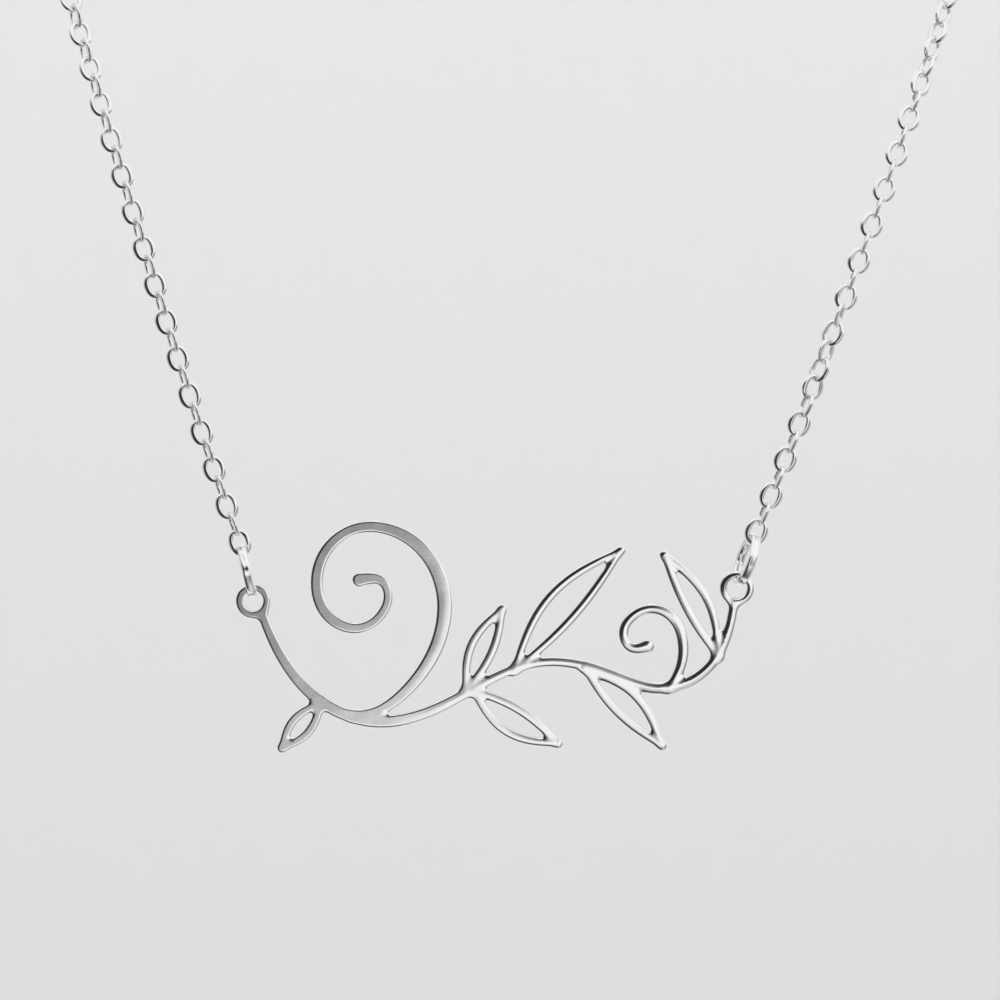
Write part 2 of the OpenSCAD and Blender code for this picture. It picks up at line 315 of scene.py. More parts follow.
world = bpy.data.worlds.new("studio air")
world.use_nodes = True
world.node_tree.nodes["Background"].inputs["Color"].default_value = linear("#fbfbfb")
world.node_tree.nodes["Background"].inputs["Strength"].default_value = 0.8
bpy.context.scene.world = world
bpy.context.scene.view_settings.view_transform = "Standard"

# %% [markdown]
# ## Metal
# Sterling silver plated with rhodium is a cool, very bright white metal. The plate
# was cut from sheet, tumbled and polished, so its face keeps a faint haze, shallow
# waves and hair scratches. The wire of the chain was drawn and bright-dipped: its waves
# are shallower and its marks finer. A plain mirror would look drawn and not made, so
# noise varies the haze and lifts the surface a little. One function makes all of them,
# because only the haze and the scale of the marks differ.

# %% Rhodium-plated silver
BRIGHTEST = "#fbfbfc"
DRIFT_MM = 3.0                                 # mm, size of the patches in which the haze drifts
HAZE_LEAST, HAZE_MOST = 0.75, 1.3              # shares of the stated haze
SCRATCH_TURN = (0.3, np.radians(38), 0.2)      # radians about each axis
SCRATCH_SQUEEZE = (0.12, 1.0, 1.0)             # scratches are about eight times as long as wide
# Real hair scratches are a few hundredths of a millimetre wide. They are drawn wider, so that they show.


def polished_silver(name, tint, haze, wave_mm, wave_depth, scratch_mm, scratch_depth):
    """Metal whose roughness drifts over a few millimetres, with waves and fine scratches as bump."""
    material, tree = new_material(name)
    place = add_node(tree, "ShaderNodeTexCoord").outputs["Object"]
    drift = add_node(tree, "ShaderNodeTexNoise", sockets={
        "Vector": place, "Scale": 1 / (DRIFT_MM * MM), "Detail": 3.0})
    rough = add_node(tree, "ShaderNodeMapRange", sockets={
        "Value": drift, "To Min": haze * HAZE_LEAST, "To Max": haze * HAZE_MOST})
    tone = add_node(tree, "ShaderNodeMix", {"data_type": "RGBA"}, {
        MIX_SHARE: drift, MIX_A: linear(tint), MIX_B: linear(BRIGHTEST)})
    wave = add_node(tree, "ShaderNodeTexNoise", sockets={
        "Vector": place, "Scale": 1 / (wave_mm * MM), "Detail": 1.5})
    stretch = add_node(tree, "ShaderNodeMapping", sockets={
        "Vector": place, "Rotation": SCRATCH_TURN, "Scale": SCRATCH_SQUEEZE})
    scratch = add_node(tree, "ShaderNodeTexNoise", sockets={
        "Vector": stretch, "Scale": 1 / (scratch_mm * MM), "Detail": 4.0, "Roughness": 0.6})
    low = add_node(tree, "ShaderNodeBump", sockets={
        "Height": wave, "Strength": 1.0, "Distance": wave_depth * MM})
    fine = add_node(tree, "ShaderNodeBump", sockets={
        "Height": scratch, "Normal": low, "Strength": 1.0, "Distance": scratch_depth * MM})
    shader = add_node(tree, "ShaderNodeBsdfPrincipled", sockets={
        "Base Color": tone.outputs[MIXED], "Roughness": rough, "Normal": fine, "Metallic": 1.0})
    add_node(tree, "ShaderNodeOutputMaterial", sockets={"Surface": shader})
    print(name, "with a haze of", haze)
    return material


plate_metal = polished_silver("rhodium-plated silver sheet, tumbled", "#ebebed", haze=0.11,
                              wave_mm=2.2, wave_depth=0.012, scratch_mm=0.12, scratch_depth=0.0008)
wire_metal = polished_silver("rhodium-plated silver wire, bright", "#eeeeef", haze=0.13,
                             wave_mm=0.9, wave_depth=0.004, scratch_mm=0.08, scratch_depth=0.0006)
ring_metal = polished_silver("rhodium-plated silver ring, bright", "#f0f0f1", haze=0.14,
                             wave_mm=1.4, wave_depth=0.01, scratch_mm=0.1, scratch_depth=0.001)

# %% [markdown]
# ## The vine plate
# The real plate is sawn or laser-cut from one millimetre sheet, and its strokes are
# drawn with a pen: a centre line and a width that changes along it. All places below
# are shares of the half span and the half height, and the last number of a point is
# the pen's width there. A leaf is two bowed edges from its base to its tip.

# %% Strokes of the vine
HALF_SPAN = 17.9
HALF_HEIGHT = 8.3
STEM_HALF = 0.42
LEAF_HALF = 0.33
LEAF_TAPER = 0.3                               # share of its width that a leaf's edge loses at its ends
EYE_HOLE_R, EYE_WALL = 0.75, 0.52
EYE_HEIGHT, EYE_RISE = 0.35, 0.95              # share of the half height, and mm from left to right
EYE_LEFT = np.array([-HALF_SPAN, EYE_HEIGHT * HALF_HEIGHT])
EYE_RIGHT = np.array([HALF_SPAN, EYE_LEFT[1] + EYE_RISE])
RIM = EYE_HOLE_R + EYE_WALL * 0.75             # how far from an eyelet's middle the stem ends
PEN_STEPS, LEAF_STEPS = 9, 20


def on_rim(eye, degrees):
    """A point in the metal round an eyelet, as shares of the half span and the half height."""
    turn = np.radians(degrees)
    return (eye + RIM * np.array([np.cos(turn), np.sin(turn)])) / [HALF_SPAN, HALF_HEIGHT]


STEM = [
    (*on_rim(EYE_LEFT, -55), 0.85),
    (-0.9, -0.12, 0.95), (-0.75, -0.56, 1.1), (-0.5, -0.78, 1.15), (-0.25, -0.65, 1), (-0.02, -0.33, 0.85),
    (0.21, -0.14, 0.85), (0.45, -0.26, 0.95), (0.65, -0.48, 1.05), (0.85, -0.36, 0.95), (0.96, -0.04, 0.85),
    (*on_rim(EYE_RIGHT, -100), 0.8),
]
CURL = [
    (-0.59, -0.67, 0.75), (-0.45, -0.65, 1), (-0.24, -0.18, 1.25), (-0.18, 0.42, 1.4), (-0.31, 0.93, 1.2),
    (-0.57, 1.09, 0.95), (-0.75, 0.75, 1.05), (-0.74, 0.22, 1.1), (-0.55, 0.03, 0.9), (-0.42, 0.32, 0.8),
    (-0.46, 0.58, 0.8), (-0.56, 0.54, 1.25),
]
TENDRIL = [
    (0.72, -0.43, 0.8), (0.79, -0.2, 0.95), (0.77, 0.2, 1), (0.63, 0.34, 0.85), (0.51, 0.12, 0.85),
    (0.55, -0.1, 0.8), (0.63, -0.05, 1.2),
]
# Leaves: base x, base z, tip x, tip z, bulge, bow
LEAVES = [
    (0.08, -0.27, 0.52, 0.8, 0.095, 0.045),
    (-0.09, -0.45, 0.26, -0.92, 0.125, -0.045),
    (-0.12, -0.45, 0.03, 0.28, 0.12, 0.03),
    (0.37, -0.25, 0.69, -0.94, 0.11, 0.04),
    (0.925, -0.15, 0.7, 0.76, 0.095, -0.05),
    (-0.72, -0.56, -0.88, -0.96, 0.16, 0),
]


def spline(rows, steps):
    """Uniform cubic B-spline through rows of any width, run on to reach the first and the last row."""
    rows = np.asarray(rows, float)
    guides = np.vstack([2 * rows[0] - rows[1], rows, 2 * rows[-1] - rows[-2]])
    spans = len(guides) - 3
    a, b, c, d = (guides[k:k + spans, None, :] for k in range(4))
    t = (np.arange(steps) / steps)[None, :, None]
    curve = ((1 - t) ** 3 * a + (3 * t ** 3 - 6 * t ** 2 + 4) * b + (-3 * t ** 3 + 3 * t ** 2 + 3 * t + 1) * c
             + t ** 3 * d) / 6
    return np.vstack([curve.reshape(-1, rows.shape[1]), rows[-1:]])


def leaf_edges(base_x, base_z, tip_x, tip_z, bulge, bow):
    """Two bowed edges: the straight rib plus a half sine wave to either side of it."""
    base = np.array([base_x * HALF_SPAN, base_z * HALF_HEIGHT])
    rib = np.array([tip_x * HALF_SPAN, tip_z * HALF_HEIGHT]) - base
    out = np.array([-rib[1], rib[0]])
    t = np.linspace(0, 1, LEAF_STEPS + 1)[:, None]
    width = LEAF_HALF * (1 - LEAF_TAPER * np.abs(2 * t - 1) ** 3)
    wave = np.sin(np.pi * t) * out
    return [np.hstack([base + t * rib + (bow + side * bulge) * wave, width]) for side in (-1, 1)]


pen_scale = [HALF_SPAN, HALF_HEIGHT, STEM_HALF]
strokes = [spline(np.array(rows) * pen_scale, PEN_STEPS) for rows in (STEM, CURL, TENDRIL)]
strokes += [edge for leaf in LEAVES for edge in leaf_edges(*leaf)]
print(len(strokes), "strokes,", sum(len(s) for s in strokes), "centre points")

# %% [markdown]
# The strokes could be bevelled curves, but then the places where they cross would stay
# sharp. Here each stroke is a distance: how far a point lies from the nearest bit of
# centre line, less the width there. Distances blend softly, so the crossings fill in
# as they do in cast or tumbled metal, and the plate's edge is where the blended
# distance is zero. An eyelet is a disc blended in, less a round hole.

# %% Distance to the metal's edge
MELT = 0.5                           # mm, how far apart two strokes may lie and still flow together
FAR = 99.0                           # mm, more than any distance on the plate
HOLE_STEEP, HOLE_GENTLE = 3.0, 1.05  # how steeply worn metal falls to a hole, upper left and lower right


def unit(v):
    """A vector divided by its length."""
    return v / np.linalg.norm(v, axis=-1, keepdims=True)


def stroke_distance(points, stroke):
    """Least distance to the bits of a centre line, each less its own half width at the nearest place."""
    start, step = stroke[:-1, :2], np.diff(stroke[:, :2], axis=0)
    offset = points[:, None, :] - start
    share = np.clip((offset * step).sum(-1) / (step ** 2).sum(-1), 0, 1)
    away = np.hypot(*np.moveaxis(offset - share[..., None] * step, -1, 0))
    return (away - stroke[:-1, 2] - share * np.diff(stroke[:, 2])).min(1)


def soft_min(a, b):
    """The lesser of two distances, lowered where they are nearly equal, so that corners fill in."""
    near = np.maximum(MELT - np.abs(a - b), 0) / MELT
    return np.minimum(a, b) - near ** 2 * MELT / 4


def hole_steepness(points, eye):
    """How many times steeper than elsewhere: gentle, plus the rest times the square of a half cosine wave."""
    away = unit(points - eye)
    upper_left = (away[:, 1] - away[:, 0]) / np.sqrt(2)
    return HOLE_GENTLE + (HOLE_STEEP - HOLE_GENTLE) * ((1 + upper_left) / 2) ** 2


def edge_distance(points, worn=False):
    """Signed distance to the plate's edge, negative in the metal: strokes and eyelets, less the holes."""
    total = np.full(len(points), FAR)
    for stroke in strokes:
        total = soft_min(total, stroke_distance(points, stroke))
    for eye in (EYE_LEFT, EYE_RIGHT):
        total = soft_min(total, np.hypot(*(points - eye).T) - EYE_HOLE_R - EYE_WALL)
    for eye in (EYE_LEFT, EYE_RIGHT):
        in_hole = EYE_HOLE_R - np.hypot(*(points - eye).T)
        total = np.maximum(total, in_hole * hole_steepness(points, eye) if worn else in_hole)
    return total


def edge_normal(points, reach=0.004):
    """Direction in which the distance grows fastest, from small steps to either side."""
    slope = np.stack([edge_distance(points + step) - edge_distance(points - step)
                      for step in (np.array([reach, 0]), np.array([0, reach]))], 1)
    return unit(slope)


in_wall = EYE_LEFT + [0, EYE_HOLE_R + EYE_WALL / 2]
print("middle of an eyelet's wall is", round(-float(edge_distance(in_wall[None])[0]), 2), "mm from an edge")

# %% [markdown]
# The edge is found by marching squares: the distance is worked out on a grid, and the
# edge crosses each side of a cell whose ends differ in sign. A voxel remesh could give
# the whole plate at once, but it would leave steps on thin strokes. Here each point
# is then moved along its normal by its own distance, so it lies on the true edge.

# %% Trace the outline
CELL = 0.09                          # mm, side of a cell of the grid
NODE_CLEAR = 0.12                    # share of a cell by which the edge stays off the grid's own points
GRID_LEFT, GRID_RIGHT, GRID_BELOW, GRID_ABOVE = 1.6, 1.7, 0.6, 1.2   # mm past the half span and height
OUTLINE_ROUNDS = 3

# Which pairs of cell sides a stretch of outline joins, for each pattern of corners in the metal.
# Corners count 1, 2, 4, 8 round the cell from its lower left; sides are 0 low, 1 right, 2 high, 3 left.
SIDE_PAIRS = {1: [(0, 3)], 2: [(1, 0)], 3: [(1, 3)], 4: [(2, 1)], 5: [(0, 3), (2, 1)], 6: [(2, 0)],
              7: [(2, 3)], 8: [(3, 2)], 9: [(0, 2)], 10: [(1, 0), (3, 2)], 11: [(1, 2)], 12: [(3, 1)],
              13: [(0, 1)], 14: [(3, 0)]}

us = np.arange(-HALF_SPAN - GRID_LEFT, HALF_SPAN + GRID_RIGHT, CELL)
vs = np.arange(-HALF_HEIGHT - GRID_BELOW, HALF_HEIGHT + GRID_ABOVE, CELL)
nodes_uv = np.stack(np.meshgrid(us, vs, indexing="ij"), -1)
field = edge_distance(nodes_uv.reshape(-1, 2)).reshape(len(us), len(vs))
field = np.where(np.abs(field) < NODE_CLEAR * CELL, np.copysign(NODE_CLEAR * CELL, field), field)


def trace(field, us, vs):
    """Marching squares: a point on each grid side whose ends differ in sign, joined across each cell."""
    inside = field < 0
    cross_u = inside[:-1] != inside[1:]
    cross_v = inside[:, :-1] != inside[:, 1:]
    id_u = np.full(cross_u.shape, -1)
    id_v = np.full(cross_v.shape, -1)
    id_u[cross_u] = np.arange(cross_u.sum())
    id_v[cross_v] = np.arange(cross_v.sum()) + cross_u.sum()
    iu, ju = np.nonzero(cross_u)
    iv, jv = np.nonzero(cross_v)
    along_u = field[iu, ju] / (field[iu, ju] - field[iu + 1, ju])
    along_v = field[iv, jv] / (field[iv, jv] - field[iv, jv + 1])
    points = np.concatenate([
        np.stack([us[iu] + along_u * CELL, vs[ju]], 1),
        np.stack([us[iv], vs[jv] + along_v * CELL], 1),
    ])
    pattern = inside[:-1, :-1] + 2 * inside[1:, :-1] + 4 * inside[1:, 1:] + 8 * inside[:-1, 1:]
    sides = [id_u[:, :-1], id_v[1:, :], id_u[:, 1:], id_v[:-1, :]]
    pieces = [np.stack([sides[a][pattern == case], sides[b][pattern == case]], 1)
              for case, pairs in SIDE_PAIRS.items() for a, b in pairs]
    return points, np.concatenate(pieces)


outline, stretches = trace(field, us, vs)
for _ in range(OUTLINE_ROUNDS):
    outline = outline - edge_distance(outline)[:, None] * edge_normal(outline)
outward = edge_normal(outline)
print("outline", len(outline), "points,", len(stretches), "stretches, off by at most",
      round(float(np.abs(edge_distance(outline)).max()), 5), "mm")

# %% [markdown]
# The outline is then carried over the plate's edge: the front, which rounds off as a
# quarter of an ellipse, the wall, and the same on the back. Polishing has worn the
# right half of the plate most: its strokes are low roofs with a ridge along the
# middle, while on the left the face stayed flat. So the roof's slope grows along X.
# Round an eyelet the ridge lies near the hole at the upper left, and halfway across
# the metal opposite. A Bevel modifier rounds every edge alike, so the depth is worked
# out instead. It depends only on the distance from the edge, and so the rows along
# the edge and the loose points between them fit together.

# %% How the plate is worn
THICK = 1.0
ROUND_WIDTH, ROUND_DROP = 0.12, 0.07   # mm, the rounding of the very edge
ROOF_WIDTH, ROOF_SOFT = 0.45, 0.05     # mm, how far in the roof rises, and how softly it ends there
ROOF_SLOPE = 0.13                      # rise over run of the roof at the right end
ROOF_FROM, ROOF_TO = -9.0, 13.0        # mm, X between which the slope grows to that


def worn_depth(points):
    """Depth of the front below its flat face: the roof's slope times what is left of its width,
    bent softly to nothing, plus a quarter ellipse close to the edge."""
    share = np.clip((points[..., 0] - ROOF_FROM) / (ROOF_TO - ROOF_FROM), 0, 1)
    slope = ROOF_SLOPE * share ** 2 * (3 - 2 * share)
    inside = -edge_distance(points.reshape(-1, 2), worn=True).reshape(slope.shape)
    left = ROOF_WIDTH - inside
    roof = slope * (left + np.sqrt(left ** 2 + ROOF_SOFT ** 2)) / 2
    return roof + ROUND_DROP * (1 - np.sqrt(1 - np.clip(1 - inside / ROUND_WIDTH, 0, 1) ** 2))


print("roofs rise", round(ROOF_SLOPE * ROOF_WIDTH, 3), "mm at the right end of the plate")

# %% Rows of points along the edge
WEAR_STEPS = 7
REACH_ROUNDS = 4
RIDGE_KEPT, REACH_LEAST = 0.96, 0.04   # how near the rows go to the middle of a stroke, and mm at least
RIM_NEAR, HOLE_NEAR = 0.06, 0.02       # mm, how close to an eyelet's outer and inner edge a point is on it

# Each row starts at its own edge and goes in, and comes halfway back while another edge is nearer.
reach = np.full(len(outline), ROOF_WIDTH)
for _ in range(REACH_ROUNDS):
    reach = (reach - edge_distance(outline - outward * reach[:, None])) / 2
# Where the metal falls s times more steeply to a hole, the ridge lies (s - 1) / (s + 1) nearer to it.
shift = np.zeros(len(outline))
for eye in (EYE_LEFT, EYE_RIGHT):
    from_eye = np.hypot(*(outline - eye).T)
    steep = hole_steepness(outline, eye)
    on_outer = np.exp(-((from_eye - EYE_HOLE_R - EYE_WALL) / RIM_NEAR) ** 2)
    on_hole = from_eye < EYE_HOLE_R + HOLE_NEAR
    shift += (on_outer - on_hole) * (steep - 1) / (steep + 1)
reach = np.clip(np.clip(reach * RIDGE_KEPT, REACH_LEAST, None) * (1 + shift), None, ROOF_WIDTH)
print("worn edge reaches", round(float(reach.min()), 3), "to", round(float(reach.max()), 3), "mm in")

inset = reach * (1 - np.cos(np.linspace(np.pi / 2, 0, WEAR_STEPS)))[:, None]
rows_uv = outline[None] - outward[None] * inset[..., None]
rows_depth = worn_depth(rows_uv) - THICK / 2
inner = rows_uv[0]
count = len(outline)

# %% Loose points between the rows
FILL_GRID, FILL_CLEAR = 0.13, 0.08     # mm, loose points and their distance from the rows
INSIDE_BATCHES, CLEAR_BATCHES = 20, 60   # parts in which the points are tested, to spare memory


def enclosed(points, starts, ends):
    """Whether a line to the right of each point crosses the outline an odd number of times."""
    rise = ends[:, 1] - starts[:, 1]
    lean = (ends[:, 0] - starts[:, 0]) / np.where(rise == 0, 1, rise)
    odd = []
    for some in np.array_split(points, INSIDE_BATCHES):
        x, y = some[:, :1], some[:, 1:]
        passes = (starts[:, 1] > y) != (ends[:, 1] > y)
        odd.append((passes & (x < starts[:, 0] + (y - starts[:, 1]) * lean)).sum(1) % 2 == 1)
    return np.concatenate(odd)


inner_ends = inner[stretches[:, 0]], inner[stretches[:, 1]]
fill_u, fill_v = np.arange(us[0], us[-1], FILL_GRID), np.arange(vs[0], vs[-1], FILL_GRID)
fill = np.stack(np.meshgrid(fill_u, fill_v), -1).reshape(-1, 2)
fill = fill[enclosed(fill, *inner_ends)]
clear = [np.hypot(*(some[:, None] - inner).T).min(0) > FILL_CLEAR
         for some in np.array_split(fill, CLEAR_BATCHES)]
fill = fill[np.concatenate(clear)]
fill_depth = worn_depth(fill) - THICK / 2
print(count, "points along the edge,", len(fill), "loose points on each face")

# %% Close the plate
# Quads join row to row, from the front's innermost row over the edge to the back's.
levels = np.arange(2 * WEAR_STEPS - 1)[:, None] * count
a, b = stretches[:, 0][None], stretches[:, 1][None]
wall_faces = np.stack([a + levels, a + levels + count, b + levels + count, b + levels], -1).reshape(-1, 4)

# The cap's points are the inner row, then the loose ones. Its fourth result tells which of them each
# point of the triangles was, and is empty for a point that the fill has added.
cap_input = [Vector(p) for p in np.concatenate([inner, fill]).tolist()]
cap = delaunay_2d_cdt(cap_input, stretches.tolist(), [], 1, 1e-7)
cap_points, cap_faces = np.array([tuple(p) for p in cap[0]]), np.array(cap[2])
in_metal = enclosed(cap_points[cap_faces].mean(1), *inner_ends)
origin = np.array([old[0] if old else -1 for old in cap[3]])
cap_faces = origin[cap_faces[in_metal]]
known = (cap_faces >= 0).all(1)
print("face fill", len(cap_faces), "triangles,", int((~known).sum()), "of them with a new point")
cap_faces = cap_faces[known]

both_uv = np.concatenate([rows_uv.reshape(-1, 2), rows_uv[::-1].reshape(-1, 2), fill, fill])
both_depth = np.concatenate([rows_depth.ravel(), -rows_depth[::-1].ravel(), fill_depth, -fill_depth])
plate_points = np.stack([both_uv[:, 0], both_depth, both_uv[:, 1]], 1) + PLATE_AT
on_row = cap_faces < count
past_rows = cap_faces + (2 * WEAR_STEPS - 1) * count
front = np.where(on_row, cap_faces, past_rows)
back = np.where(on_row, past_rows, past_rows + len(fill))
plate = mesh_piece("vine_plate", plate_points, [wall_faces, front, back[:, ::-1]], plate_metal)
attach(plate, "root")
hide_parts("nameplate")

# %% [markdown]
# ## The chain
# A cable chain is made of oval links of half-round wire, each turned a quarter from
# the last, so one shows its face and the next its edge. An Array modifier along a
# curve could repeat one pair of links, but it bends them. Here the links stay rigid:
# each has a middle, an axis and a normal of its own, at equal steps of the course.
# The sizes below are those of the solids, and the metal hangs a little closer.

# %% Sizes of links, rings and clasp
LINK_LEN, LINK_W, LINK_WIRE, LINK_GAP = 2.21, 1.71, 0.33, 0.11
LINK_PITCH = LINK_LEN - 2 * LINK_WIRE - LINK_GAP
SEAT_GAP, EYE_GAP = 0.03, 0.04       # mm left where metal hangs on metal, less than between the solids
DRESSED_LEN, END_WIRE = 2.08, 0.31   # a link as drawn: its length, and the wire at its ends
RING_D, RING_WIRE, RING_THICK = 4.1, 0.7, 0.46
NEST_GAP = 0.12                      # below the first link, whose round end sits on the ring's broad wire
LEAN_LEFT, LEAN_RIGHT, TURN_LEFT, TURN_RIGHT = -12.5, 19, -3, -10   # degrees, of the jump rings
CLASP_D, CLASP_WIRE, CLASP_EYE_D, CLASP_EYE_WIRE, CLASP_NECK = 6.0, 1.1, 2.5, 0.6, 0.5
END_RING_D, END_RING_WIRE = 3.5, 0.6

ring_r = (RING_D - RING_THICK) / 2
ring_sag = ring_r - np.sqrt(ring_r ** 2 - THICK ** 2 / 4)
ring_seat = EYE_HOLE_R - RING_THICK / 2 - ring_sag - EYE_GAP
clasp_r = (CLASP_D - CLASP_WIRE) / 2
clasp_eye_r = (CLASP_EYE_D - CLASP_EYE_WIRE) / 2
clasp_eye_x = -(CLASP_D / 2 + CLASP_NECK + CLASP_EYE_D / 2)
end_ring_r = (END_RING_D - END_RING_WIRE) / 2
end_ring_x = clasp_r - (CLASP_WIRE + END_RING_WIRE) / 2 - SEAT_GAP + end_ring_r
print("a link every", round(LINK_PITCH, 2), "mm, end ring at", round(end_ring_x, 2), "mm")

# %% The course of each strand
# Guide points from the plate up beside the neck and back to the nape, mm
COURSE_LEFT = [(-22, -88, -88), (-26.7, -87, -73), (-31.9, -84, -56), (-37, -77, -39), (-42, -65, -24),
               (-45, -49, -12), (-42, -31, -4), (-33, -14, 0), (-22, -4, 0), (-13, -1, 0)]
COURSE_RIGHT = [(22.6, -88, -88), (28.1, -87, -73), (34.2, -84, -56), (39.5, -77, -39), (43.5, -65, -24),
                (45.5, -49, -12), (42, -31, -4), (33, -14, 0), (23, -4, 0), (14, -1, 0)]
COURSE_STEPS = 12


def ring_centre(eye, lean):
    """A jump ring hangs in its eyelet: from the eyelet, seat and radius along the pull of the chain."""
    return PLATE_AT + [eye[0], 0, eye[1]] + (ring_seat + ring_r) * lean_dir(lean)


def link_seat(wire, gap=SEAT_GAP):
    """From the middle of the wire that a link hangs on to the middle of the link."""
    return DRESSED_LEN / 2 - END_WIRE - wire / 2 - gap


def course_line(eye, lean, course, last):
    """The smooth line of a strand, from the link on the jump ring to the link at the clasp."""
    top = ring_centre(eye, lean) + ring_r * lean_dir(lean)
    first = top + link_seat(RING_THICK, NEST_GAP) * unit(np.array(course[0]) - top)
    return spline([first, *course, last], COURSE_STEPS)


last_left = np.array([clasp_eye_x - clasp_eye_r - link_seat(CLASP_EYE_WIRE), 0, 0])
last_right = np.array([end_ring_x + end_ring_r + link_seat(END_RING_WIRE), 0, 0])
line_left = course_line(EYE_LEFT, LEAN_LEFT, COURSE_LEFT, last_left)
line_right = course_line(EYE_RIGHT, LEAN_RIGHT, COURSE_RIGHT, last_right)
print("courses of", len(line_left), "and", len(line_right), "points")

# %% [markdown]
# A chain twists slowly as it hangs, and a link rarely stands at an exact quarter turn
# from its neighbours. The tables below give, along each strand, the slow twist and
# the slant at which every second link has settled, as they show in the photograph.

# %% How every link is turned
# Share of the strand's length from the plate, and degrees there
TWIST_LEFT = [(0, 14), (0.04, 20), (0.2, 24), (0.26, 32), (1, 32)]
TWIST_RIGHT = [(0, 12), (0.05, 18), (0.11, 90), (0.19, 90), (0.23, 135), (1, 135)]
SETTLE_LEFT = [(0, -19), (0.2, -22), (0.3, 0), (1, 0)]
SETTLE_RIGHT = [(0, -17), (0.06, -17), (0.11, 0), (1, 0)]
CLOSING_FROM = 0.3   # share of the strand where the slow turn begins that squares up its last link


def spun(normal, axis, degrees):
    """A normal turned about an axis square to it: cosine of itself, sine of the cross product."""
    turn = np.radians(np.asarray(degrees))[..., None]
    return np.cos(turn) * normal + np.sin(turn) * np.cross(axis, normal)


def link_frames(line, twist, settle, last_normal):
    """Middles, long axes and face normals of a strand's links.

    The middles lie at equal steps of the line's length. The normal is carried from
    link to link without turning, then each link turns a quarter more than the last,
    plus the strand's own twist, plus the slant at which every second link has settled,
    plus a slow turn that squares the last link up.
    """
    length = np.concatenate([[0], np.cumsum(np.linalg.norm(np.diff(line, axis=0), axis=1))])
    number = int(round(length[-1] / LINK_PITCH))
    step = length[-1] / number

    def at(s):
        return np.stack([np.interp(s, length, line[:, k]) for k in range(3)], 1)

    index = np.arange(number + 1)
    axes = unit(at((index + 0.5) * step) - at((index - 0.5) * step))
    normals = np.empty_like(axes)
    normal = np.array([0.0, -1.0, 0.0])
    for i, axis in enumerate(axes):
        normal = unit(normal - (normal @ axis) * axis)
        normals[i] = normal
    slow, second = (np.interp(index / number, *np.array(table).T) for table in (twist, settle))
    turned = slow + np.where(index % 2 == 0, second, 90)
    end = spun(normals[-1], axes[-1], turned[-1])
    off = np.degrees(np.arctan2(np.cross(end, last_normal) @ axes[-1], end @ last_normal))
    closing = off - 180 * np.round(off / 180)
    turned = turned + closing * np.clip((index / number - CLOSING_FROM) / (1 - CLOSING_FROM), 0, None)
    print(number + 1, "links, step", round(float(step), 3), "mm, length", round(float(length[-1]), 1), "mm")
    return at(index * step), axes, spun(normals, axes, turned)


frames_left = link_frames(line_left, TWIST_LEFT, SETTLE_LEFT, np.array([0, 0, 1.0]))
frames_right = link_frames(line_right, TWIST_RIGHT, SETTLE_RIGHT, np.array([0, 1.0, 0]))

# %% [markdown]
# A link is bent from half-round wire with its flat side inward, which draws a dark
# and a light line side by side along it. A round wire, as a bevelled curve gives it,
# would show one soft band instead. Hundreds of links are one array sum: the same small
# ring of points, turned and moved by each link's own frame.

# %% Links of half-round wire
ROLL_SPREAD = 3.0      # degrees by which a link settles out of its exact quarter turn
SIDE_WIRE = 0.42       # mm, width of the wire along a link's sides
WIRE_THICK = 0.31      # mm, through the link
FLAT_SHARE = 0.32      # share of the wire's width that lies inside of its thickest place
OVAL_POWER = 0.96      # 1 for a plain oval, less for one with fuller corners
LINK_AROUND, LINK_SIDES = 40, 16
ROLL_SEED_LEFT, ROLL_SEED_RIGHT = 3, 5


def link_points():
    """An oval link of half-round wire with the flat side inward.

    The wire's outer edge follows an oval between a circle and a stadium: the power of
    the sine and the cosine below one fills its corners a little. The section is two
    half ellipses of equal height: a long one outward and a short one towards the hole.
    """
    phi = (np.arange(LINK_AROUND) + 0.5) * 2 * np.pi / LINK_AROUND
    psi = np.arange(LINK_SIDES) * 2 * np.pi / LINK_SIDES
    cos_phi, sin_phi = np.cos(phi), np.sin(phi)
    width = END_WIRE + (SIDE_WIRE - END_WIRE) * sin_phi ** 2
    half_len, half_w = DRESSED_LEN / 2, LINK_W / 2
    rim = np.stack([half_len * np.sign(cos_phi) * np.abs(cos_phi) ** OVAL_POWER,
                    half_w * np.sign(sin_phi) * np.abs(sin_phi) ** OVAL_POWER, 0 * phi], 1)
    out = unit(np.stack([cos_phi / half_len, sin_phi / half_w, 0 * phi], 1))
    reach = np.cos(psi) * np.where(np.cos(psi) > 0, 1 - FLAT_SHARE, FLAT_SHARE) - (1 - FLAT_SHARE)
    points = rim[:, None, :] + width[:, None, None] * reach[None, :, None] * out[:, None, :]
    points = points + WIRE_THICK / 2 * np.sin(psi)[None, :, None] * np.array([0, 0, 1.0])
    return points.reshape(-1, 3), grid_faces(LINK_AROUND, LINK_SIDES, True, True)


def strand(name, node, frames, seed):
    """All links of a strand: the one link's points, turned and moved by every frame at once."""
    middles, axes, normals = frames
    roll = np.random.default_rng(seed).uniform(-ROLL_SPREAD, ROLL_SPREAD, len(middles))
    normals = spun(normals, axes, roll)
    local, faces = link_points()
    basis = np.stack([axes, np.cross(normals, axes), normals], 1)
    points = middles[:, None, :] + np.einsum("pk,nkc->npc", local, basis)
    every = faces[None] + (np.arange(len(middles)) * len(local))[:, None, None]
    piece = mesh_piece(name, points.reshape(-1, 3), [every.reshape(-1, 4)], wire_metal)
    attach(piece, "root")
    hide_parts(node)


strand("links_left", "chain_left", frames_left, ROLL_SEED_LEFT)
strand("links_right", "chain_right", frames_right, ROLL_SEED_RIGHT)

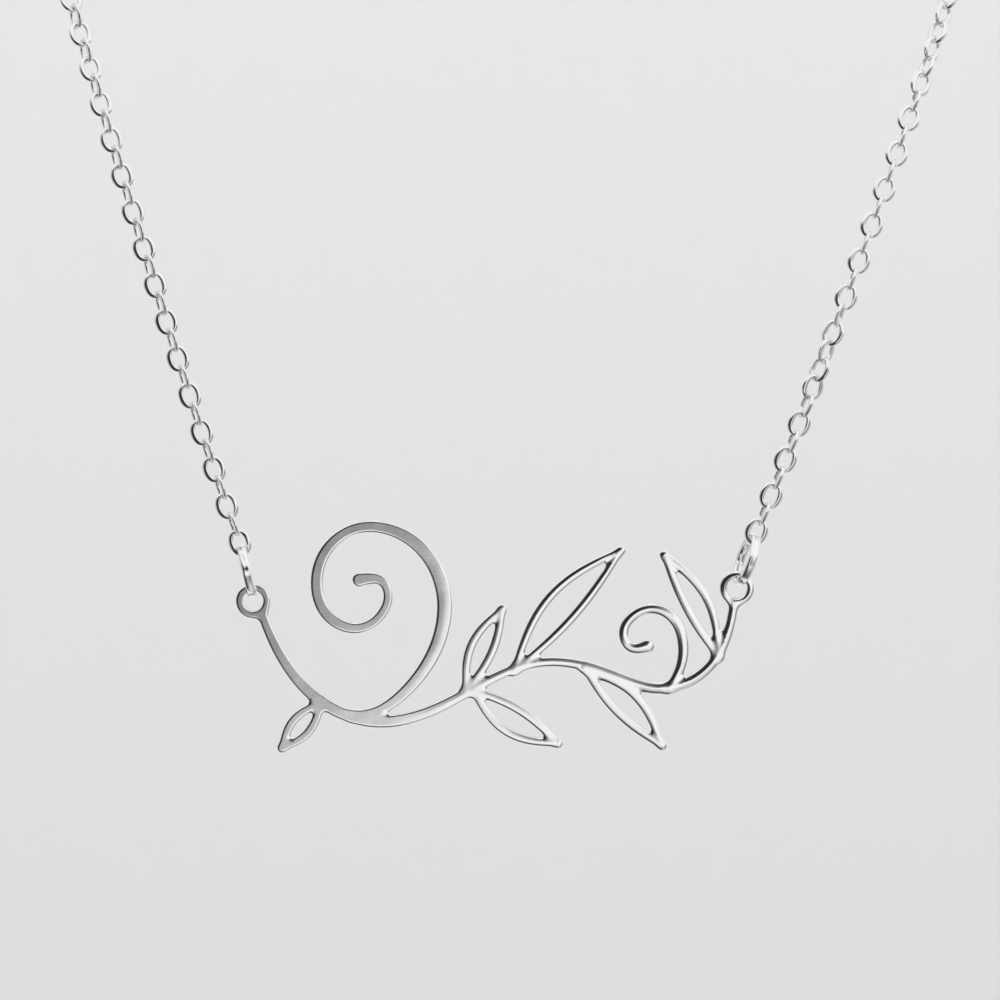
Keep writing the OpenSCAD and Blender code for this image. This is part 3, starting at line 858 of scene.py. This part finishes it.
# %% [markdown]
# ## Jump rings
# A jump ring is a turn of wire whose cut ends are pushed together. The butt joint
# shows as a hairline, so the wire dips in a very narrow groove there. The wire has
# been rolled flat on its outer side and pulled through a drawplate, which leaves it
# slightly fluted along its length: the flutes draw out the reflections into streaks.
# A torus would be the quick way, but its section is round and it has no joint.

# %% Rings of wire
RING_AROUND, RING_SIDES = 120, 72
RING_SQUARENESS = 0.7                          # 1 for an oval section, less for a squarer outer side
SEAM_DIP, SEAM_WIDTH = 0.1, 0.012              # share of the wire's size, and radians round the ring
SEAM_STEPS, SEAM_REACH, SEAM_CLEAR = 13, 3.0, 3.5   # rows at the seam, and widths that they take up
SEAM_LEFT, SEAM_RIGHT, SEAM_CLOSING = 1.7, 1.9, 2.4   # radians from the start, out of the camera's sight
# Flutes: count round the wire, share of its size, drift round the ring, phase
FLUTES = [(5, 0.03, 1, 0.4), (9, 0.014, -2, 2.1), (14, 0.006, 1, 4.4)]


def apart(a, b):
    """The lesser angle between two directions, from the angle of their quotient as complex numbers."""
    return np.angle(np.exp(1j * (a - b)))


def ring_points(diameter, width, thick, squareness, centre, axis, start, seam):
    """A ring of wire about an axis.

    The section is half an ellipse on its inner side. On its outer side the sine and
    the cosine are raised to a power below one, which squares it up. At the seam's
    angle the section shrinks by a narrow bell curve.
    """
    even = np.arange(RING_AROUND) * 2 * np.pi / RING_AROUND
    close = seam + np.linspace(-SEAM_REACH, SEAM_REACH, SEAM_STEPS) * SEAM_WIDTH
    kept = even[np.abs(apart(even, seam)) > SEAM_CLEAR * SEAM_WIDTH]
    phi = np.sort(np.concatenate([kept, close]) % (2 * np.pi))[:, None]
    psi = np.arange(RING_SIDES) * 2 * np.pi / RING_SIDES
    power = np.where(np.cos(psi) > 0, squareness, 1)
    outward_part = np.sign(np.cos(psi)) * np.abs(np.cos(psi)) ** power * thick / 2
    axial_part = np.sign(np.sin(psi)) * np.abs(np.sin(psi)) ** power * width / 2
    bell = np.exp(-(apart(phi, seam) / SEAM_WIDTH) ** 2)
    flute = sum(deep * (np.sin(number * psi + drift * phi + phase) - 1)
                for number, deep, drift, phase in FLUTES)
    size = (1 - SEAM_DIP * bell + flute)[..., None]
    out = np.cos(phi) * start + np.sin(phi) * np.cross(axis, start)
    points = (centre + (diameter - thick) / 2 * out)[:, None, :] + size * (
        outward_part[None, :, None] * out[:, None, :] + axial_part[None, :, None] * axis)
    return points.reshape(-1, 3), grid_faces(len(phi), RING_SIDES, True, True)[:, ::-1]


def ring_piece(name, node, points, faces):
    """A finished ring, in place of its solid."""
    piece = mesh_piece(name, points, [faces], ring_metal)
    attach(piece, "root")
    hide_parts(node)


def jump_ring(name, node, eye, lean, turn, seam):
    """A ring that hangs nearly edge-on, leaning with the chain and turned a little about its own length."""
    up = lean_dir(lean)
    side = np.cross(up, [0, 1, 0])
    axis = np.cos(np.radians(turn)) * side + np.sin(np.radians(turn)) * np.array([0, 1, 0])
    ring_piece(name, node, *ring_points(
        RING_D, RING_WIRE, RING_THICK, RING_SQUARENESS, ring_centre(eye, lean), axis, up, seam))


jump_ring("jump_left", "jump_ring_left", EYE_LEFT, LEAN_LEFT, TURN_LEFT, SEAM_LEFT)
jump_ring("jump_right", "jump_ring_right", EYE_RIGHT, LEAN_RIGHT, TURN_RIGHT, SEAM_RIGHT)
ring_piece("closing_ring", "end_ring", *ring_points(
    END_RING_D, END_RING_WIRE, END_RING_WIRE, 1, np.array([end_ring_x, 0, 0]), np.array([0, 0, 1.0]),
    np.array([1.0, 0, 0]), SEAM_CLOSING))

# %% [markdown]
# ## Clasp
# The clasp lies hidden at the nape, so it is one plain ring with an eye. Its solid
# already has the right shape, and only its metal is set here.

# %% Metal of the clasp
clasp_object = bpy.data.objects["clasp"]
clasp_object.data.materials.clear()
clasp_object.data.materials.append(ring_metal)
print("clasp in", ring_metal.name)
